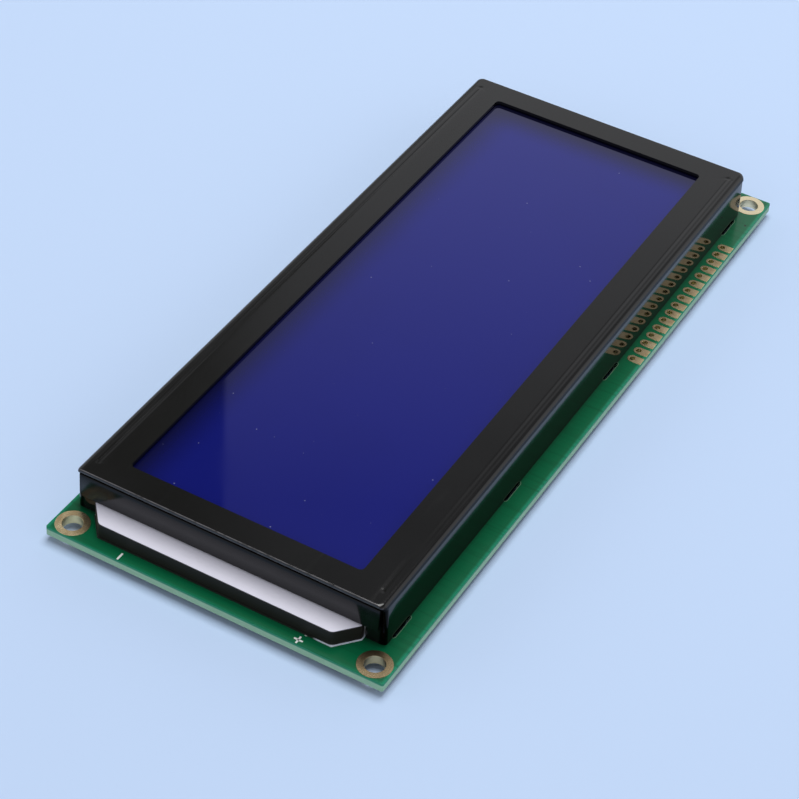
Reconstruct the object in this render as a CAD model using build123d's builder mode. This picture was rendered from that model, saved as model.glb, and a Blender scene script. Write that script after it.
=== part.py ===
from build123d import *
from math import atan2, cos, degrees, radians, sin
import os

os.makedirs("parts", exist_ok=True)

# A character display module: a glass-epoxy board, a folded metal bezel clipped
# through it, a liquid-crystal glass, and a side-lit backlight between the two.
# +X is the backlight's end, +Y the header's side and +Z out of the display's
# face. The origin is on the surface the module lies on, under the board's middle.

# Sides of the small rounds that repeat, such as header holes and slot ends
small_round_sides = 12

# Board
board_length = 146.0
board_width = 62.5
board_thickness = 1.6
board_corner_radius = 0.4
back_clearance = 1.2

# Mounting holes with plated lands
mounting_hole_from_end = 3.0
mounting_hole_from_side = 3.2
mounting_hole_radius = 1.75
mounting_land_radius = 2.9
mounting_land_sides = 24
plating_thickness = 0.06

# Header pads, one row along the +Y edge
header_count = 16
header_pitch = 2.54
header_first_from_end = 17.8
header_from_edge = 2.0
header_hole_radius = 0.5
header_pad_width = 1.8
header_pad_edge_margin = 0.1

# Bezel, one folded sheet, placed by its distances from the board's edges
sheet = 0.6
bezel_nose_margin = 6.35
bezel_far_margin = 5.85
bezel_header_margin = 3.9
bezel_plain_margin = 1.6
bezel_height = 8.75
bend_radius = 0.85
face_corner_radius = 1.0
wall_corner_radius = 0.5
flange_length = 3.4
flange_inset = 0.7
flange_slit = 0.35
short_wall_side_gap = 0.8
short_wall_corner_radius = 0.5
far_wall_foot_gap = 0.35

# Window in the bezel's face
window_end_border = 5.15
window_side_border = 7.0
window_corner_radius = 0.8

# Pressed groove along each long side of the face, with a dimple at each end
groove_from_side = 2.25
groove_from_end = 3.25
groove_width = 0.8
groove_depth = 0.2
dimple_radius = 0.75
dimple_depth = 0.3
dimple_slope = 50.0

# Tabs through the board, twisted under it
tab_from_end = 5.7
tab_pitch = 36.4
tab_row_count = 3
tab_width = 3.4
tab_twist = 38.0
slot_end_gap = 1.2
slot_width = 1.3
slot_outer_gap = 0.5

# Glass, films and gasket
gasket_thickness = 0.4
gasket_window_gap = 0.7
gasket_edge_gap = 0.35
film_thickness = 0.2
film_gap = 0.1
glass_thickness = 1.1
glass_end_gap = 1.55
glass_side_gap = 2.6
glass_contact_ledge = 2.0

# Elastomeric connectors under the front glass's contact ledges
zebra_width = 1.6
zebra_end_gap = 5.2
zebra_edge_gap = 0.2

# Backlight tray and what it holds
reflector_thickness = 0.15
reflector_lip = 0.3
tray_side_gap = 0.6
tray_end_gap = 1.9
tray_wall = 2.1
tray_floor_thickness = 0.6
tray_ledge = 1.4
diffuser_thickness = 0.3
guide_thickness = 2.0
guide_far_thickness = 1.3
guide_gap = 0.1

# Nose of the backlight, under the short wall and out over the board's end
nose_end_margin = 2.7
nose_height = 3.0
nose_gate_gap = 0.2
nose_side_gap = 0.4
nose_chamfer_width = 3.1
nose_wall = 0.8
nose_corner_radius = 1.2
nose_film_thickness = 0.1
tape_thickness = 0.12

# Light-emitting diodes on their strip, and the two pins that feed it
led_board_thickness = 0.6
led_board_height = 1.9
led_board_end_gap = 1.3
led_count = 8
led_width = 2.8
led_height = 1.4
led_depth = 0.8
pin_radius = 0.25
pin_hole_gap = 0.1
pin_from_strip_end = 3.0
pin_tail = 0.8
joint_height = 0.6
joint_radius = 1.0
joint_tip_radius = 0.4

# Chips under epoxy, and small parts, on the board's back
blob_height = 1.05
blob_sides = 16
blob_steps = 3
blob_step_angle = 25.0
controller_blob_radius = 9.0
controller_blob_x = 34.0
driver_blob_radius = 7.5
driver_blob_first_x = -2.0
driver_blob_spacing = 34.0
driver_blob_count = 2
chip_length = 2.0
chip_width = 1.25
resistor_height = 0.5
capacitor_height = 0.8
chip_row_from_side = 12.0
resistor_count = 6
resistor_pitch = 3.2
capacitor_count = 3
capacitor_pitch = 34.0

# Levels above the surface
board_under = back_clearance
board_top = board_under + board_thickness
bezel_top = board_top + bezel_height
bezel_under = bezel_top - sheet
rim_foot = bezel_under - flange_slit
front_glass_top = bezel_under - gasket_thickness
front_glass_under = front_glass_top - glass_thickness
rear_glass_under = front_glass_under - glass_thickness
rear_film_under = rear_glass_under - film_thickness
diffuser_under = rear_film_under - diffuser_thickness
tray_under = board_top + reflector_thickness
tray_floor = tray_under + tray_floor_thickness
nose_top = board_top + nose_height
nose_tray_top = nose_top - nose_film_thickness

# The display's middle, and sizes measured from it
display_x = (bezel_far_margin - bezel_nose_margin) / 2
display_y = (bezel_plain_margin - bezel_header_margin) / 2
bezel_length = board_length - bezel_nose_margin - bezel_far_margin
bezel_width = board_width - bezel_header_margin - bezel_plain_margin
flange_face = bezel_length / 2 - flange_inset
gate_width = bezel_width - 2 * flange_length
short_wall_width = bezel_width - 2 * short_wall_side_gap
window_length = bezel_length - 2 * window_end_border
window_width = bezel_width - 2 * window_side_border
front_glass_length = 2 * (flange_face - sheet - glass_end_gap)
front_glass_width = bezel_width - 2 * (sheet + glass_side_gap)
rear_glass_width = front_glass_width - 2 * glass_contact_ledge
zebra_middle = front_glass_width / 2 - zebra_edge_gap - zebra_width / 2
tray_width = 2 * (zebra_middle - zebra_width / 2 - tray_side_gap)
tray_length = 2 * (flange_face - sheet - tray_end_gap)
guide_room_width = tray_width - 2 * tray_wall
film_room_length = tray_length - 2 * (tray_wall - tray_ledge)
film_room_width = tray_width - 2 * (tray_wall - tray_ledge)
nose_reach = board_length / 2 - nose_end_margin - display_x
nose_root_width = gate_width - 2 * nose_side_gap
nose_front_width = nose_root_width - 2 * nose_chamfer_width
nose_room_reach = nose_reach - nose_wall
led_board_x = nose_room_reach - led_board_thickness / 2
led_face_x = nose_room_reach - led_board_thickness - led_depth
led_board_length = guide_room_width - 2 * led_board_end_gap
led_pitch = led_board_length / led_count
pin_y = led_board_length / 2 - pin_from_strip_end

# Tab and slot places, measured from the display's middle
last_tab_x = bezel_length / 2 - tab_from_end
tab_xs = [last_tab_x - i * tab_pitch for i in range(tab_row_count)] + [-last_tab_x]
tab_y = bezel_width / 2 - sheet / 2
slot_y = bezel_width / 2 + slot_outer_gap - slot_width / 2
slot_straight = tab_width + 2 * slot_end_gap - slot_width


def save(part, name):
    part.label = name
    export_step(part, f"parts/{name}.step")


def display_plane(level):
    """A level plane with its origin at the display's middle."""
    return Plane(origin=(display_x, display_y, level))


def display_section():
    """An upright plane along the display's middle line."""
    return Plane(origin=(display_x, display_y, 0), x_dir=(1, 0, 0), z_dir=(0, -1, 0))


def mounting_spots():
    return GridLocations(
        board_length - 2 * mounting_hole_from_end,
        board_width - 2 * mounting_hole_from_side,
        2,
        2,
    )


def header_spots():
    first_x = header_first_from_end - board_length / 2
    row_y = board_width / 2 - header_from_edge
    return Locations(*[(first_x + i * header_pitch, row_y) for i in range(header_count)])


def small_hole_outline(radius):
    """A small round as a regular polygon drawn round its circle."""
    RegularPolygon(radius, small_round_sides, major_radius=False)


def pin_spots():
    return Locations((led_board_x, -pin_y), (led_board_x, pin_y))


def nose_outline():
    """The nose seen from above, chamfered at both front corners."""
    Polygon(
        (tray_length / 2, -nose_root_width / 2),
        (bezel_length / 2, -nose_root_width / 2),
        (nose_reach, -nose_front_width / 2),
        (nose_reach, nose_front_width / 2),
        (bezel_length / 2, nose_root_width / 2),
        (tray_length / 2, nose_root_width / 2),
        align=None,
    )


# Circuit board, with round holes, header holes, tab slots and pin holes
with BuildPart() as circuit_board:
    with BuildSketch(Plane.XY.offset(board_under)):
        RectangleRounded(board_length, board_width, board_corner_radius)
        with mounting_spots():
            Circle(mounting_hole_radius + plating_thickness, mode=Mode.SUBTRACT)
    extrude(amount=board_thickness)
    with BuildSketch(Plane.XY.offset(board_under)):
        with header_spots():
            small_hole_outline(header_hole_radius + plating_thickness)
    extrude(amount=board_thickness, mode=Mode.SUBTRACT)
    with BuildSketch(display_plane(board_under)):
        with Locations(*[(x, side * slot_y) for x in tab_xs for side in (-1, 1)]):
            Rectangle(slot_straight, slot_width)
            with GridLocations(slot_straight, 1, 2, 1):
                RegularPolygon(slot_width / 2, small_round_sides)
        with pin_spots():
            small_hole_outline(pin_radius + pin_hole_gap)
    extrude(amount=board_thickness, mode=Mode.SUBTRACT)
save(circuit_board.part, "circuit_board")

# Mounting lands: a ring on each face of the board, joined by a plated barrel
with BuildPart() as mounting_lands:
    for land_under in (board_under - plating_thickness, board_top):
        with BuildSketch(Plane.XY.offset(land_under)):
            with mounting_spots():
                RegularPolygon(mounting_land_radius, mounting_land_sides)
        extrude(amount=plating_thickness)
    with BuildSketch(Plane.XY.offset(board_under)):
        with mounting_spots():
            Circle(mounting_hole_radius + plating_thickness)
    extrude(amount=board_thickness)
    with BuildSketch(Plane.XY.offset(board_under - plating_thickness)):
        with mounting_spots():
            Circle(mounting_hole_radius)
    extrude(amount=board_thickness + 2 * plating_thickness, mode=Mode.SUBTRACT)
save(mounting_lands.part, "mounting_lands")

# Header lands: round at the inner end, square at the board's edge
header_pad_reach = header_from_edge - header_pad_edge_margin
with BuildPart() as header_lands:
    for land_under in (board_under - plating_thickness, board_top):
        with BuildSketch(Plane.XY.offset(land_under)):
            with header_spots():
                RegularPolygon(header_pad_width / 2, small_round_sides)
                Rectangle(
                    header_pad_width,
                    header_pad_reach,
                    align=(Align.CENTER, Align.MIN),
                )
        extrude(amount=plating_thickness)
    with BuildSketch(Plane.XY.offset(board_under)):
        with header_spots():
            small_hole_outline(header_hole_radius + plating_thickness)
    extrude(amount=board_thickness)
    with BuildSketch(Plane.XY.offset(board_under - plating_thickness)):
        with header_spots():
            small_hole_outline(header_hole_radius)
    extrude(amount=board_thickness + 2 * plating_thickness, mode=Mode.SUBTRACT)
save(header_lands.part, "header_lands")

# Metal bezel, one sheet. The face is bent down into a low rim all round. The long
# walls go on down from it to the board and wrap round the corners into short
# flanges. The short walls go down outside the flanges, and the one over the nose
# stops high enough to let it through.
with BuildPart() as metal_bezel:
    with BuildSketch(display_plane(rim_foot)):
        RectangleRounded(bezel_length, bezel_width, face_corner_radius)
    extrude(amount=bezel_top - rim_foot)
    fillet(metal_bezel.faces().sort_by(Axis.Z)[-1].edges(), radius=bend_radius)
    offset(amount=-sheet, openings=metal_bezel.faces().sort_by(Axis.Z)[0])

    # Long walls and flanges: a ring, open at both ends between the flanges
    with BuildSketch(display_plane(board_top)):
        RectangleRounded(2 * flange_face, bezel_width, wall_corner_radius)
        Rectangle(2 * (flange_face - sheet), bezel_width - 2 * sheet, mode=Mode.SUBTRACT)
        Rectangle(bezel_length, gate_width, mode=Mode.SUBTRACT)
    extrude(amount=rim_foot - board_top)

    # Short walls, down from the rim's ends
    for end, foot_gap in ((1, nose_height + nose_gate_gap), (-1, far_wall_foot_gap)):
        foot = board_top + foot_gap
        with BuildSketch(display_plane(foot)):
            with Locations((end * (bezel_length - sheet) / 2, 0)):
                Rectangle(sheet, short_wall_width)
        extrude(amount=rim_foot - foot)
        wall_corners = (
            metal_bezel.edges()
            .filter_by(Axis.X)
            .filter_by_position(Axis.Z, foot - sheet / 4, foot + sheet / 4)
            .group_by(SortBy.LENGTH)[0]
        )
        fillet(wall_corners, radius=short_wall_corner_radius)

    # Window
    with BuildSketch(display_plane(bezel_under)):
        RectangleRounded(window_length, window_width, window_corner_radius)
    extrude(amount=sheet, mode=Mode.SUBTRACT)

    # Pressed dimples, each a bowl above and a bump below
    dimple_x = bezel_length / 2 - groove_from_end
    groove_y = bezel_width / 2 - groove_from_side
    for level, dimple_mode in ((bezel_under, Mode.ADD), (bezel_top, Mode.SUBTRACT)):
        with BuildSketch(display_plane(level)):
            with GridLocations(2 * dimple_x, 2 * groove_y, 2, 2):
                RegularPolygon(dimple_radius, small_round_sides)
        extrude(amount=-dimple_depth, taper=dimple_slope, mode=dimple_mode)

    # Pressed grooves, each a vee above and a rib below
    for level, groove_mode in ((bezel_under, Mode.ADD), (bezel_top, Mode.SUBTRACT)):
        for side in (-1, 1):
            middle = display_y + side * groove_y
            with BuildSketch(Plane.YZ.offset(display_x)):
                with BuildLine():
                    Polyline(
                        (middle - groove_width / 2, level),
                        (middle, level - groove_depth),
                        (middle + groove_width / 2, level),
                        close=True,
                    )
                make_face()
            extrude(amount=dimple_x, both=True, mode=groove_mode)

    # Tabs, straight through the board and twisted under it
    tab_spots = [(x, side * tab_y) for x in tab_xs for side in (-1, 1)]
    tab_stages = (
        (board_under, board_thickness + sheet, 0),
        (0, board_under, tab_twist),
    )
    for foot, height, turn in tab_stages:
        with BuildSketch(display_plane(foot)):
            with Locations(*tab_spots):
                Rectangle(tab_width, sheet, rotation=turn)
        extrude(amount=height)
save(metal_bezel.part, "metal_bezel")

# Gasket between the bezel's face and the glass
with BuildPart() as bezel_gasket:
    with BuildSketch(display_plane(front_glass_top)):
        Rectangle(
            front_glass_length - 2 * gasket_edge_gap,
            front_glass_width - 2 * gasket_edge_gap,
        )
        Rectangle(
            window_length + 2 * gasket_window_gap,
            window_width + 2 * gasket_window_gap,
            mode=Mode.SUBTRACT,
        )
    extrude(amount=gasket_thickness)
save(bezel_gasket.part, "bezel_gasket")

# Front polarizing film, inside the gasket
with BuildPart() as front_polarizer:
    with BuildSketch(display_plane(front_glass_top)):
        Rectangle(
            window_length + 2 * (gasket_window_gap - film_gap),
            window_width + 2 * (gasket_window_gap - film_gap),
        )
    extrude(amount=film_thickness)
save(front_polarizer.part, "front_polarizer")

# Glass: the front sheet overhangs the rear one along both long sides
glass_sheets = (
    ("front_glass", front_glass_width, front_glass_under),
    ("rear_glass", rear_glass_width, rear_glass_under),
)
for name, width, under in glass_sheets:
    with BuildPart() as glass:
        with BuildSketch(display_plane(under)):
            Rectangle(front_glass_length, width)
        extrude(amount=glass_thickness)
    save(glass.part, name)

# Rear polarizing film and diffuser sheet, in the tray's rim
tray_films = (
    ("rear_polarizer", rear_film_under, film_thickness),
    ("diffuser_sheet", diffuser_under, diffuser_thickness),
)
for name, under, thickness in tray_films:
    with BuildPart() as film:
        with BuildSketch(display_plane(under)):
            Rectangle(film_room_length - 2 * film_gap, film_room_width - 2 * film_gap)
        extrude(amount=thickness)
    save(film.part, name)

# Elastomeric connectors, standing on the board under the front glass
zebra_strips = (("header_side_zebra", 1), ("plain_side_zebra", -1))
for name, side in zebra_strips:
    with BuildPart() as zebra:
        with BuildSketch(display_plane(board_top)):
            with Locations((0, side * zebra_middle)):
                Rectangle(front_glass_length - 2 * zebra_end_gap, zebra_width)
        extrude(amount=front_glass_under - board_top)
    save(zebra.part, name)

# Reflector film under the backlight, with a lip that shows round the nose
with BuildPart() as reflector_sheet:
    with BuildSketch(display_plane(board_top)):
        Rectangle(tray_length, tray_width)
        nose_outline()
        offset(amount=reflector_lip, kind=Kind.INTERSECTION)
    extrude(amount=reflector_thickness)
    with BuildSketch(display_plane(board_top)):
        with pin_spots():
            small_hole_outline(pin_radius + pin_hole_gap)
    extrude(amount=reflector_thickness, mode=Mode.SUBTRACT)
save(reflector_sheet.part, "reflector_sheet")

# Backlight tray: a deep rim under the glass and a low nose with the diodes
with BuildPart() as backlight_tray:
    with BuildSketch(display_plane(tray_under)):
        nose_outline()
    extrude(amount=nose_tray_top - tray_under)
    nose_corners = backlight_tray.edges().filter_by(Axis.Z).group_by(Axis.X)[-1]
    fillet(nose_corners, radius=nose_corner_radius)
    with BuildSketch(display_plane(tray_under)):
        Rectangle(tray_length, tray_width)
    extrude(amount=rear_glass_under - tray_under)
    with BuildSketch(display_plane(tray_floor)):
        Rectangle(tray_length - 2 * tray_wall, guide_room_width)
    extrude(amount=rear_glass_under - tray_floor, mode=Mode.SUBTRACT)
    with BuildSketch(display_plane(diffuser_under)):
        Rectangle(film_room_length, film_room_width)
    extrude(amount=rear_glass_under - diffuser_under, mode=Mode.SUBTRACT)
    with BuildSketch(display_plane(tray_floor)):
        Rectangle(nose_room_reach, guide_room_width, align=(Align.MIN, Align.CENTER))
    extrude(amount=nose_tray_top - tray_floor, mode=Mode.SUBTRACT)
    with BuildSketch(display_plane(tray_under)):
        with pin_spots():
            small_hole_outline(pin_radius + pin_hole_gap)
    extrude(amount=tray_floor_thickness, mode=Mode.SUBTRACT)
save(backlight_tray.part, "backlight_tray")

# Light guide, a wedge with its thick edge against the diodes
guide_far_x = -tray_length / 2 + tray_wall + guide_gap
guide_near_x = led_face_x - guide_gap
with BuildPart() as light_guide:
    with BuildSketch(display_section()):
        with BuildLine():
            Polyline(
                (guide_far_x, tray_floor),
                (guide_near_x, tray_floor),
                (guide_near_x, tray_floor + guide_thickness),
                (guide_far_x, tray_floor + guide_far_thickness),
                close=True,
            )
        make_face()
    extrude(amount=guide_room_width / 2 - guide_gap, both=True)
save(light_guide.part, "light_guide")

# White film over the nose
with BuildPart() as nose_film:
    with BuildSketch(display_plane(nose_tray_top)):
        nose_outline()
    extrude(amount=nose_film_thickness)
    film_corners = nose_film.edges().filter_by(Axis.Z).group_by(Axis.X)[-1]
    fillet(film_corners, radius=nose_corner_radius)
save(nose_film.part, "nose_film")

# Black tape round the nose's front and chamfers, from the bezel's flanges outwards
with BuildPart() as side_tape:
    with BuildSketch(display_plane(tray_under)) as tape_section:
        nose_outline()
        tape_corners = tape_section.vertices().group_by(Axis.X)[-1]
        fillet(tape_corners, radius=nose_corner_radius)
        inner_faces = tape_section.faces()
        offset(amount=tape_thickness, kind=Kind.INTERSECTION)
        add(inner_faces, mode=Mode.SUBTRACT)
        with Locations((tray_length / 2, 0)):
            Rectangle(
                2 * (flange_face - tray_length / 2),
                nose_root_width + 4 * tape_thickness,
                mode=Mode.SUBTRACT,
            )
    extrude(amount=nose_tray_top - tray_under)
save(side_tape.part, "side_tape")

# Diode strip on edge in the nose, diodes facing the light guide
with BuildPart() as led_strip_board:
    with BuildSketch(display_plane(tray_floor)):
        with Locations((led_board_x, 0)):
            Rectangle(led_board_thickness, led_board_length)
    extrude(amount=led_board_height)
save(led_strip_board.part, "led_strip_board")

with BuildPart() as side_leds:
    led_under = tray_floor + (led_board_height - led_height) / 2
    with BuildSketch(display_plane(led_under)):
        with Locations((led_face_x + led_depth / 2, 0)):
            with GridLocations(1, led_pitch, 1, led_count):
                Rectangle(led_depth, led_width)
    extrude(amount=led_height)
save(side_leds.part, "side_leds")

# Feed pins from the strip through tray, reflector and board, and their solder
with BuildPart() as backlight_pins:
    with BuildSketch(display_plane(board_under - pin_tail)):
        with pin_spots():
            small_hole_outline(pin_radius)
    extrude(amount=tray_floor - board_under + pin_tail)
save(backlight_pins.part, "backlight_pins")

with BuildPart() as pin_solder_joints:
    joint_slope = degrees(atan2(joint_radius - joint_tip_radius, joint_height))
    with BuildSketch(display_plane(board_under)):
        with pin_spots():
            small_hole_outline(joint_radius)
    extrude(amount=joint_height, taper=joint_slope)
    with BuildSketch(display_plane(board_under)):
        with pin_spots():
            small_hole_outline(pin_radius)
    extrude(amount=joint_height, mode=Mode.SUBTRACT)
    mirror(about=Plane.XY.offset(board_under), mode=Mode.REPLACE)
save(pin_solder_joints.part, "pin_solder_joints")

# Epoxy domes over the bonded chips, drawn upwards and turned over
def dome_ring(radius, step):
    """One ring's radius and height, on an ellipse's quarter cut short of its pole."""
    angle = radians(step * blob_step_angle)
    last_angle = radians(blob_steps * blob_step_angle)
    return radius * cos(angle), blob_height * sin(angle) / sin(last_angle)


driver_blob_xs = [
    driver_blob_first_x - i * driver_blob_spacing for i in range(driver_blob_count)
]
blob_rows = (
    ("controller_blob", [controller_blob_x], controller_blob_radius),
    ("driver_blobs", driver_blob_xs, driver_blob_radius),
)
for name, xs, radius in blob_rows:
    with BuildPart() as blobs:
        for step in range(blob_steps):
            ring_radius, rise = dome_ring(radius, step)
            next_radius, next_rise = dome_ring(radius, step + 1)
            slope = degrees(atan2(ring_radius - next_radius, next_rise - rise))
            with BuildSketch(display_plane(board_under + rise)):
                with Locations(*[(x, 0) for x in xs]):
                    RegularPolygon(ring_radius, blob_sides, major_radius=False)
            extrude(amount=next_rise - rise, taper=slope)
        mirror(about=Plane.XY.offset(board_under), mode=Mode.REPLACE)
    save(blobs.part, name)

# Chip resistors in a row on the header's side, capacitors along the plain side
chip_row_y = board_width / 2 - chip_row_from_side
chip_rows = (
    ("chip_resistors", chip_row_y, resistor_pitch, resistor_count, resistor_height),
    ("chip_capacitors", -chip_row_y, capacitor_pitch, capacitor_count, capacitor_height),
)
for name, row_y, pitch, count, height in chip_rows:
    with BuildPart() as chips:
        with BuildSketch(Plane.XY.offset(board_under - height)):
            with Locations((0, row_y)):
                with GridLocations(pitch, 1, count, 1):
                    Rectangle(chip_width, chip_length)
        extrude(amount=height)
    save(chips.part, name)
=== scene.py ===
"""A character display module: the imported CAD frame, dressed with metal, film and solder finishes."""

import bmesh
import bpy
import numpy as np
from bpy.props import FloatProperty, FloatVectorProperty, PointerProperty
from mathutils import Matrix, Vector


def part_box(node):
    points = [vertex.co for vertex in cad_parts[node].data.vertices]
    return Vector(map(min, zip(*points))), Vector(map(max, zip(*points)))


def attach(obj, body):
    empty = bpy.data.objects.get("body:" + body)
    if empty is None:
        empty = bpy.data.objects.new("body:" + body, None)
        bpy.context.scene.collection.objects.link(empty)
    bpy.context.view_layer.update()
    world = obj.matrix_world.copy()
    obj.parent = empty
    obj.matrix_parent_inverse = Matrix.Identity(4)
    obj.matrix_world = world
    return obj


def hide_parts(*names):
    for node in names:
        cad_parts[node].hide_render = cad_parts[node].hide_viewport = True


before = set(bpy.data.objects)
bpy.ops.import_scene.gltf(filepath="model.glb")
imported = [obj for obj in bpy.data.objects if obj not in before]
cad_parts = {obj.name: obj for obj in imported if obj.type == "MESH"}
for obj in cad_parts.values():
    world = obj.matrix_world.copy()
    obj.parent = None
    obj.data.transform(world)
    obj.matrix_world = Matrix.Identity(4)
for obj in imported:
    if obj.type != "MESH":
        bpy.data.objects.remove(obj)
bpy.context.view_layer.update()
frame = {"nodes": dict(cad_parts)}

bl_info = {
    "name": "Character Display Module",
    "version": (1, 0, 0),
    "blender": (4, 5, 0),
    "location": "View3D > Sidebar > Display Module",
    "description": "Dresses a character display module with its bezel, lands, films and solder",
    "category": "Mesh",
}

mm = 0.001

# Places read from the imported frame, in metres
board_low, board_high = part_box("circuit_board")
glass_low, glass_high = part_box("front_glass")
face_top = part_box("metal_bezel")[1].z
pads_low, pads_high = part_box("header_lands")
display_x = (glass_low.x + glass_high.x) / 2
display_y = (glass_low.y + glass_high.y) / 2
board_under = board_low.z
board_top = board_high.z

# Places and sizes measured from the display's middle, in metres
tab_places = (61.2 * mm, 24.8 * mm, -11.6 * mm, -61.2 * mm)
slot_half_length, slot_y, slot_radius = 2.25 * mm, 28.35 * mm, 0.65 * mm
nose_wall_start, long_wall_start = 66.3 * mm, 27.4 * mm

# Places measured from the board's middle, in metres, and the number of header pads
minus_place = (72.05 * mm, -17.5 * mm)
plus_place = (72.0 * mm, 15.6 * mm)
dot_place = (70.45 * mm, 16.1 * mm)
small_hole_place = (-63.8 * mm, 30.06 * mm)
controller_place = 34 * mm
driver_places = (-2 * mm, -36 * mm)
pad_count = 16


# Properties

def length(name, description, default):
    """A length in metres that the user may change."""
    return FloatProperty(name=name, description=description, default=default, unit="LENGTH", min=0)


def colour(name, description, default):
    """A colour in linear light that the user may change."""
    return FloatVectorProperty(
        name=name, description=description, default=default, subtype="COLOR", size=3, min=0, max=1
    )


class BezelSizes(bpy.types.PropertyGroup):
    """Sizes and colour of the folded metal bezel."""

    sheet: length("Sheet", "Thickness of the bezel's metal", 0.6 * mm)
    half_width: length("Half width", "From the display's middle line to the long walls", 28.5 * mm)
    bend_radius: length("Bend radius", "Outside radius over the short walls", 0.28 * mm)
    long_bend: length("Long bend", "Outside radius over the long walls", 1.04 * mm)
    seam_depth: length("Seam depth", "Depth of the seam over each short wall", 0.30 * mm)
    lean: length("Lean", "How far a long wall would lean in at the slope of its upper edge", 0.44 * mm)
    reach: length("Reach", "From the display's middle to the short walls", 66.9 * mm)
    flange_reach: length("Flange reach", "From the middle to the end flanges' outer face", 66.2 * mm)
    face_corner: length("Face corner", "Radius of the face's corners", 1.0 * mm)
    wall_corner: length("Wall corner", "Radius of the long walls' corners", 0.65 * mm)
    short_wall_half: length("Short wall half width", "Half of a short wall's width", 27.7 * mm)
    short_wall_corner: length("Short wall corner", "Radius of a short wall's foot corners", 0.5 * mm)
    gate_half: length("Gate half width", "Half of the opening between the end flanges", 25.1 * mm)
    slit: length("Slit", "Gap between the end flanges and the face", 0.35 * mm)
    near_foot: length("Near foot", "Height of the short wall's foot at the nose", 6.0 * mm)
    far_foot: length("Far foot", "Height of the other short wall's foot", 3.15 * mm)
    window_half_length: length("Window half length", "Half of the window's length", 61.75 * mm)
    window_half_width: length("Window half width", "Half of the window's width", 21.5 * mm)
    window_corner: length("Window corner", "Radius of the window's corners", 0.8 * mm)
    groove_offset: length("Groove offset", "From the middle line to a pressed groove", 26.25 * mm)
    groove_steep: length("Groove's steep side", "Width of a pressed groove's steep side", 0.24 * mm)
    groove_gentle: length("Groove's gentle side", "Width of its gentle side", 0.55 * mm)
    groove_depth: length("Groove depth", "Depth of a pressed groove", 0.024 * mm)
    dimple_reach: length("Dimple reach", "From the middle to the dimples and groove ends", 63.65 * mm)
    dimple_radius: length("Dimple radius", "Radius of a pressed dimple", 0.72 * mm)
    dimple_depth: length("Dimple depth", "Depth of a pressed dimple", 0.036 * mm)
    tab_width: length("Tab width", "Width of a twisted tab", 3.4 * mm)
    paint: colour("Paint", "Colour of the bezel's paint", (0.003, 0.003, 0.0032))


class BoardSizes(bpy.types.PropertyGroup):
    """Sizes and colours of the circuit board's lands and marks."""

    plating: length("Plating", "Thickness of a land over the board", 0.06 * mm)
    hole_radius: length("Mounting hole radius", "Radius of a mounting hole", 1.75 * mm)
    land_radius: length("Land radius", "Outside radius of a mounting hole's land", 2.9 * mm)
    hole_reach_x: length("Hole reach X", "From the middle to a mounting hole along the board", 70.0 * mm)
    hole_reach_y: length("Hole reach Y", "From the middle to a mounting hole across the board", 28.05 * mm)
    pad_hole_radius: length("Pad hole radius", "Radius of a header hole", 0.5 * mm)
    pad_half_width: length("Pad half width", "Half of a header pad's width", 0.9 * mm)
    pad_pitch: length("Pad pitch", "Distance between header holes", 2.54 * mm)
    pad_row_y: length("Pad row", "From the middle line to the header holes", 29.25 * mm)
    mark_size: length("Mark size", "Width of a polarity mark", 1.6 * mm)
    mask: colour("Solder mask", "Colour of the board's solder mask", (0.001, 0.104, 0.040))
    mask_bright: colour("Bright mask", "Solder mask where no copper lies under it", (0.006, 0.215, 0.112))
    laminate: colour("Laminate", "Colour of the board's cut edges", (0.33, 0.545, 0.355))
    gold: colour("Gold", "Colour of the plated lands", (0.86, 0.71, 0.44))
    ink: colour("Ink", "Colour of the printed marks", (0.66, 0.70, 0.68))


class BackSizes(bpy.types.PropertyGroup):
    """Sizes and colours of the parts under the board."""

    dome_height: length("Dome height", "Height of an epoxy dome", 1.05 * mm)
    controller_radius: length("Controller dome radius", "Radius of the larger dome", 9.0 * mm)
    driver_radius: length("Driver dome radius", "Radius of a smaller dome", 7.5 * mm)
    pin_radius: length("Pin radius", "Radius of a backlight pin", 0.25 * mm)
    joint_radius: length("Joint radius", "Radius of a solder joint on the board", 1.0 * mm)
    joint_height: length("Joint height", "Height of a solder joint", 0.6 * mm)
    chip_width: length("Chip width", "Width of a chip resistor or capacitor", 1.25 * mm)
    epoxy: colour("Epoxy", "Colour of the epoxy domes", (0.010, 0.010, 0.011))
    solder: colour("Solder", "Colour of the solder", (0.60, 0.60, 0.61))


class DisplayColours(bpy.types.PropertyGroup):
    """Colours of the films, glass and backlight."""

    film: colour("Film", "Colour of the window's film", (0.0042, 0.0075, 0.150))
    film_shaded: colour("Shaded film", "Colour of the film beside the frame", (0.001, 0.001, 0.010))
    nose: colour("Nose film", "Colour of the backlight's white film", (0.80, 0.79, 0.90))
    tape: colour("Tape", "Colour of the black tape", (0.010, 0.008, 0.006))
    tray: colour("Tray", "Colour of the backlight's tray", (0.78, 0.80, 0.84))


class StageSettings(bpy.types.PropertyGroup):
    """The floor's colour and the camera's lens."""

    floor: colour("Floor", "Colour of the pale floor", (0.52, 0.655, 0.88))
    lens: FloatProperty(name="Lens", description="Focal length in millimetres", default=113.06)


# Shader expressions

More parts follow.
